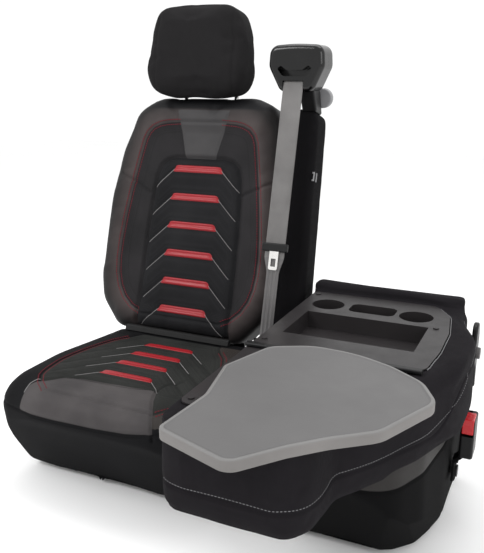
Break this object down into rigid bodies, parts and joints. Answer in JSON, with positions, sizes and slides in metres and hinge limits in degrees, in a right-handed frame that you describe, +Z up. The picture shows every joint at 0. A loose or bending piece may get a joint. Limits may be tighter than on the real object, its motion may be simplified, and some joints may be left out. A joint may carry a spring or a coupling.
{
  "type": "double van bench fitted with a cover set",
  "caption": "Van double bench in fitted covers: outer place with headrest and belt tower, middle back folded flat as a console with a swivel table.",
  "frame": {"origin": "floor level at the centre of the four floor bolt holes", "axes": "+Z up, -Y the front of the bench, +X the viewer's right when facing its front"},
  "size_m": [0.9967, 1.0388, 1.0896],
  "materials": {
    "steel_black": "black powder coat",
    "foam": "moulded foam",
    "cover_black": "fitted cover, leather-look and cloth",
    "grey_cloth": "grey cloth",
    "chrome_steel": "bright plated steel",
    "grey_plastic": "grained grey plastic",
    "black_plastic": "satin black plastic",
    "webbing_grey": "woven belt webbing",
    "elastic_black": "woven elastic",
    "red_plastic": "gloss red plastic"
  },
  "bodies": {
    "bench": {"back_cover": "cover_black", "back_foam": "foam", "back_frame": "steel_black", "belt_anchor": "steel_black", "belt_head_front": "black_plastic", "belt_head_rear": "black_plastic", "belt_neck": "black_plastic", "buckle_bolt": "chrome_steel", "buckle_bracket": "steel_black", "cover_hooks": "chrome_steel", "cushion_cover_middle": "cover_black", "cushion_cover_outer": "cover_black", "cushion_foam_middle": "foam", "cushion_foam_outer": "foam", "foot_front_l": "steel_black", "foot_front_r": "steel_black", "foot_rear_l": "steel_black", "foot_rear_r": "steel_black", "headrest_guide_l": "grey_plastic", "headrest_guide_r": "grey_plastic", "hinge_bracket_l": "steel_black", "hinge_bracket_r": "steel_black", "hinge_pin_l": "chrome_steel", "hinge_pin_r": "chrome_steel", "lever_cap": "black_plastic", "neck_cap": "grey_plastic", "pan_middle": "steel_black", "pan_outer": "steel_black", "rail_centre": "steel_black", "rail_front": "steel_black", "rail_inner": "steel_black", "rail_outer": "steel_black", "rail_rear": "steel_black", "tower_cover": "cover_black", "tower_foam": "foam", "tower_post": "steel_black", "tuck_strip": "grey_cloth", "webbing": "webbing_grey"},
    "headrest": {"headrest_post_l": "chrome_steel", "headrest_post_r": "chrome_steel", "headrest_foam": "foam", "headrest_cover": "cover_black"},
    "headrest_release": {"headrest_button": "black_plastic"},
    "belt_tongue": {"tongue_grip": "black_plastic", "tongue_blade": "chrome_steel"},
    "middle_back": {"middle_frame": "steel_black", "middle_foam": "foam", "middle_cover": "cover_black", "console_tray": "black_plastic", "tray_screws": "black_plastic", "cross_rail": "grey_plastic", "table_pivot": "chrome_steel", "table_washer": "grey_plastic", "elastic_strap": "elastic_black", "strap_hook": "black_plastic"},
    "table": {"table_top": "grey_plastic"},
    "lever": {"fold_lever": "black_plastic"},
    "buckle": {"buckle_stalk": "black_plastic", "buckle_body": "black_plastic"},
    "buckle_release": {"buckle_button": "red_plastic"}
  },
  "joints": [
    {"name": "headrest_slide", "type": "slide", "parent": "bench", "child": "headrest", "axis": [0, 0.2756, 0.9613], "range_m": [0, 0.055]},
    {"name": "headrest_button_press", "type": "slide", "parent": "bench", "child": "headrest_release", "axis": [-1, 0, 0], "range_m": [0, 0.0025], "stiffness_N_per_m": 300},
    {"name": "tongue_slide", "type": "slide", "parent": "bench", "child": "belt_tongue", "axis": [0, 0.2574, 0.9663], "range_m": [-0.15, 0.25]},
    {"name": "middle_back_fold", "type": "hinge", "parent": "bench", "child": "middle_back", "pos_m": [0.27, 0.18, 0.32], "axis": [-1, 0, 0], "range_deg": [0, 106]},
    {"name": "table_swivel", "type": "hinge", "parent": "middle_back", "child": "table", "pos_m": [0.3, -0.34, 0.42], "axis": [0, 0, 1], "range_deg": [0, 37]},
    {"name": "fold_lever_pull", "type": "hinge", "parent": "bench", "child": "lever", "pos_m": [0.47, 0.18, 0.32], "axis": [-1, 0, 0], "range_deg": [0, 22], "stiffness_Nm_per_rad": 1.5},
    {"name": "buckle_tilt", "type": "hinge", "parent": "bench", "child": "buckle", "pos_m": [0.4685, 0.05, 0.095], "axis": [1, 0, 0], "range_deg": [-12, 20]},
    {"name": "buckle_button_press", "type": "slide", "parent": "buckle", "child": "buckle_release", "axis": [0, 0, -1], "range_m": [0, 0.004], "stiffness_N_per_m": 400}
  ]
}
